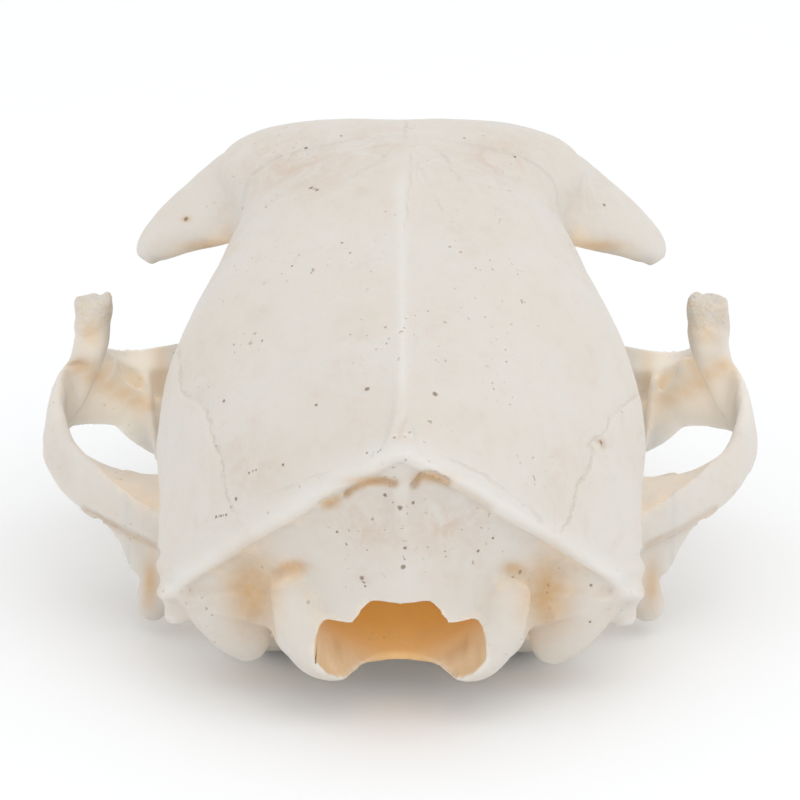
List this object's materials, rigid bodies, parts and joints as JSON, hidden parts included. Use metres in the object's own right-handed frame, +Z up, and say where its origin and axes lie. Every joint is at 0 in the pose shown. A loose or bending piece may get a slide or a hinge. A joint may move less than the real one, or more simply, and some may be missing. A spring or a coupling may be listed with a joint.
{
  "type": "cat skull",
  "caption": "Cranium of a domestic cat, life size, resting on its canine teeth and ear bullae, with cheek arches, eye sockets and an open braincase.",
  "frame": {"origin": "centre of the skull's footprint, on the table it rests on", "axes": "+Z up, the muzzle points to -Y, and +X is the animal's left"},
  "size_m": [0.0668, 0.0922, 0.0425],
  "materials": {
    "bone": "matt, dry ivory bone",
    "face_bone": "matt, dry ivory bone with satin teeth",
    "arch_bone": "matt, dry ivory bone, warmer where it is thin"
  },
  "bodies": {
    "root": {"braincase": "bone", "face": "face_bone", "zygomatic_arch_left": "arch_bone", "zygomatic_arch_right": "arch_bone"}
  },
  "joints": []
}
